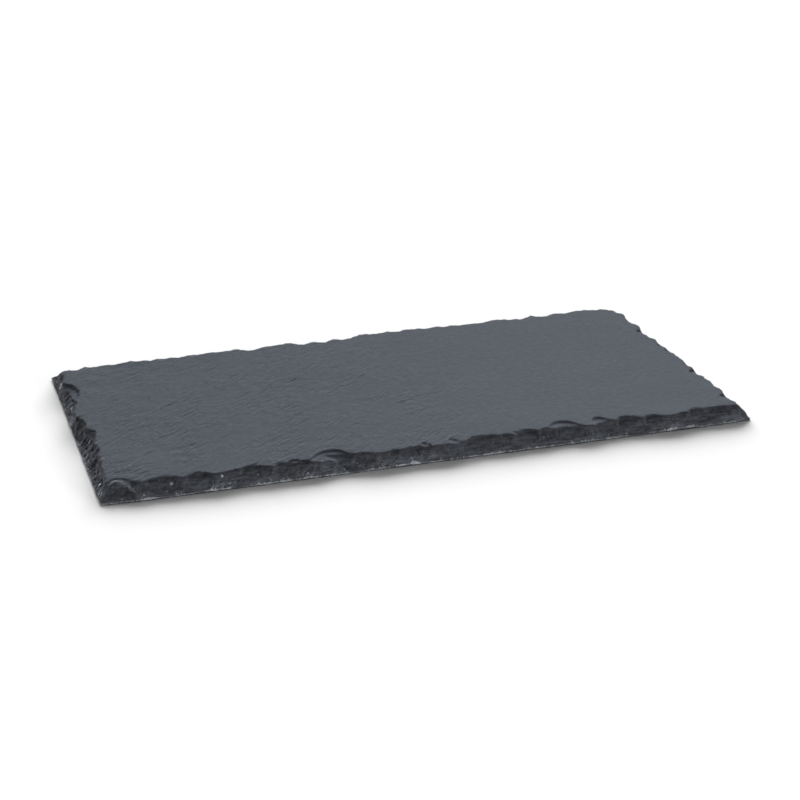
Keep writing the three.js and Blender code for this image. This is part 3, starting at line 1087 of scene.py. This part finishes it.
def slate_normal(n, chipped):
    """Fine grain, thin steps and splits on the cleft faces, and broken layers on the sides."""
    fine = n.bump(n.noise(0.8, 3.0, 0.65), FINE_BUMP)
    layers = n.product(n.noise((24, 7, 24), 4.0, 0.55, 0.5, RIPPLE_DIRECTION), 7.0)
    part = n.math("FRACT", layers)
    steps = n.math("SUBTRACT", n.ramp(part, 0.7, 1.0), part)
    splits = n.ramp(n.noise((5, 1.6, 5), 2.0, 0.5, 0.6, RIPPLE_DIRECTION), 0.40, 0.62)
    fading = n.ramp(n.along_x(), -0.03, 0.06, 1.0, 0.35)
    patchy = n.ramp(n.noise((26, 18, 26), 2.0), 0.38, 0.6, 0.5, 1.4)
    relief = n.product(n.math("ADD", steps, splits), fading, patchy)
    broken = n.product(n.noise((4, 4, 0.5), 4.0, 0.6, 0.3), chipped)
    cleft = n.bump(relief, CLEFT_BUMP, Normal=fine)
    return n.bump(broken, CHIP_BUMP, Normal=cleft)


def slate_material():
    """Blue-grey satin on the cleft faces, mottled and rougher on the chipped sides."""
    material = bpy.data.materials.new("slate")
    n = Nodes(material)
    chipped = n.math("SUBTRACT", 1.0, n.attribute("cleft"), True)
    colour = n.blend(chipped, cleft_colour(n), chip_colour(n))
    roughness = n.ramp(n.noise(3, 3.0), 0.3, 0.7, *CLEFT_ROUGHNESS)
    roughness = n.math("ADD", roughness, n.product(chipped, CHIP_EXTRA_ROUGHNESS))
    inputs = {
        "Base Color": with_crest_highlight_and_crushed_stone(n, colour, chipped),
        "Roughness": roughness,
        "Normal": slate_normal(n, chipped),
        "IOR": 1.5,
        "Specular IOR Level": 0.35,
    }
    shader = n.add("BsdfPrincipled", inputs).outputs[0]
    n.add("OutputMaterial", {"Surface": shader})
    return material


def floor_material():
    material = bpy.data.materials.new("floor")
    n = Nodes(material)
    shader = n.add("BsdfDiffuse", {"Color": FLOOR_WHITE}).outputs[0]
    n.add("OutputMaterial", {"Surface": shader})
    return material


# ---- The piece ----
def add_object(name, data):
    made = bpy.data.objects.new(name, data)
    bpy.context.scene.collection.objects.link(made)
    return made


def build_slab():
    mesh, values = slab_mesh()
    add_attributes(mesh, values)
    add_flat_map(mesh, values["under"])
    mesh.shade_smooth()
    mesh.set_sharp_from_angle(angle=math.radians(SHARP_ANGLE))
    mesh.materials.append(slate_material())
    slab = add_object("slate_slab_fine", mesh)
    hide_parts(NODE)
    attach(slab, "root")


# ---- Camera, floor and light ----
CAMERA_TARGET = (3.5, -2.7, 0)
CAMERA_AZIMUTH, CAMERA_ELEVATION = -17.75, 22.25  # degrees
CAMERA_DISTANCE = 856
LENS = 81.45
FLOOR_HALF = 30  # metres

# The softbox's suns: the angle of each from straight behind the slab, and its strength
SOFTBOX = ((-30, 0.06), (0, 0.24), (12, 0.22), (24, 0.21), (36, 0.21))
SOFTBOX_ELEVATION = 15.7  # of its middle, straight behind the slab
SOFTBOX_SPREAD = 22
# The other suns: name, azimuth, elevation, strength, spread, and whether reflections show it
OTHER_SUNS = (
    ("softbox_top", 165, 30, 0.09, 34, False),
    ("right_card", 40, 12, 0.08, 9, False),
    ("left_card", -70, 14, 0.022, 15, True),
)
FILL, BACKDROP = 0.05, 1.3  # strength of the world as a light, and as the camera sees it


def direction(azimuth, elevation):
    """The unit vector from the object towards a place. Azimuth 0 is in front, at -Y."""
    a, e = math.radians(azimuth), math.radians(elevation)
    return Vector((math.sin(a) * math.cos(e), -math.cos(a) * math.cos(e), math.sin(e)))


def add_camera():
    back = direction(CAMERA_AZIMUTH, CAMERA_ELEVATION)
    data = bpy.data.cameras.new("camera")
    data.lens = LENS
    camera = add_object("camera", data)
    camera.location = (Vector(CAMERA_TARGET) + back * CAMERA_DISTANCE) * MM
    camera.rotation_euler = (-back).to_track_quat("-Z", "Y").to_euler()
    bpy.context.scene.camera = camera


def add_floor():
    mesh = bpy.data.meshes.new("floor")
    corners = FLOOR_HALF * np.array([(-1, -1, 0), (1, -1, 0), (1, 1, 0), (-1, 1, 0)])
    mesh.from_pydata(corners, [], [(0, 1, 2, 3)])
    mesh.materials.append(floor_material())
    floor = add_object("floor", mesh)


def add_sun(name, azimuth, elevation, strength, spread, glossy):
    """A light from far away. Its strength is what it adds to a level surface."""
    data = bpy.data.lights.new(name, "SUN")
    data.energy = strength * math.pi / math.sin(math.radians(elevation))
    data.angle = math.radians(spread)
    sun = add_object(name, data)
    sun.rotation_euler = direction(azimuth, elevation).to_track_quat("Z", "Y").to_euler()
    sun.visible_glossy = glossy


def add_lights():
    """A long low softbox behind the slab, as a row of suns and one above, and two cards."""
    slant = math.tan(math.radians(SOFTBOX_ELEVATION))
    for i, (angle, strength) in enumerate(SOFTBOX):
        elevation = math.degrees(math.atan(slant * math.cos(math.radians(angle))))
        add_sun(f"softbox_{i}", 180 - angle, elevation, strength, SOFTBOX_SPREAD, False)
    for sun in OTHER_SUNS:
        add_sun(*sun)


def add_world():
    """A weak even fill, which the camera sees as plain white."""
    world = bpy.data.worlds.new("studio")
    bpy.context.scene.world = world
    n = Nodes(world)
    seen = n.add("LightPath", {}).outputs["Is Camera Ray"]
    fill, backdrop = (n.add("Background", {"Strength": s}).outputs[0] for s in (FILL, BACKDROP))
    mix = n.add("MixShader", {0: seen, 1: fill, 2: backdrop}).outputs[0]
    n.add("OutputWorld", {"Surface": mix})


add_camera()
build_slab()
add_floor()
add_lights()
add_world()
bpy.context.scene.view_settings.view_transform = "Standard"
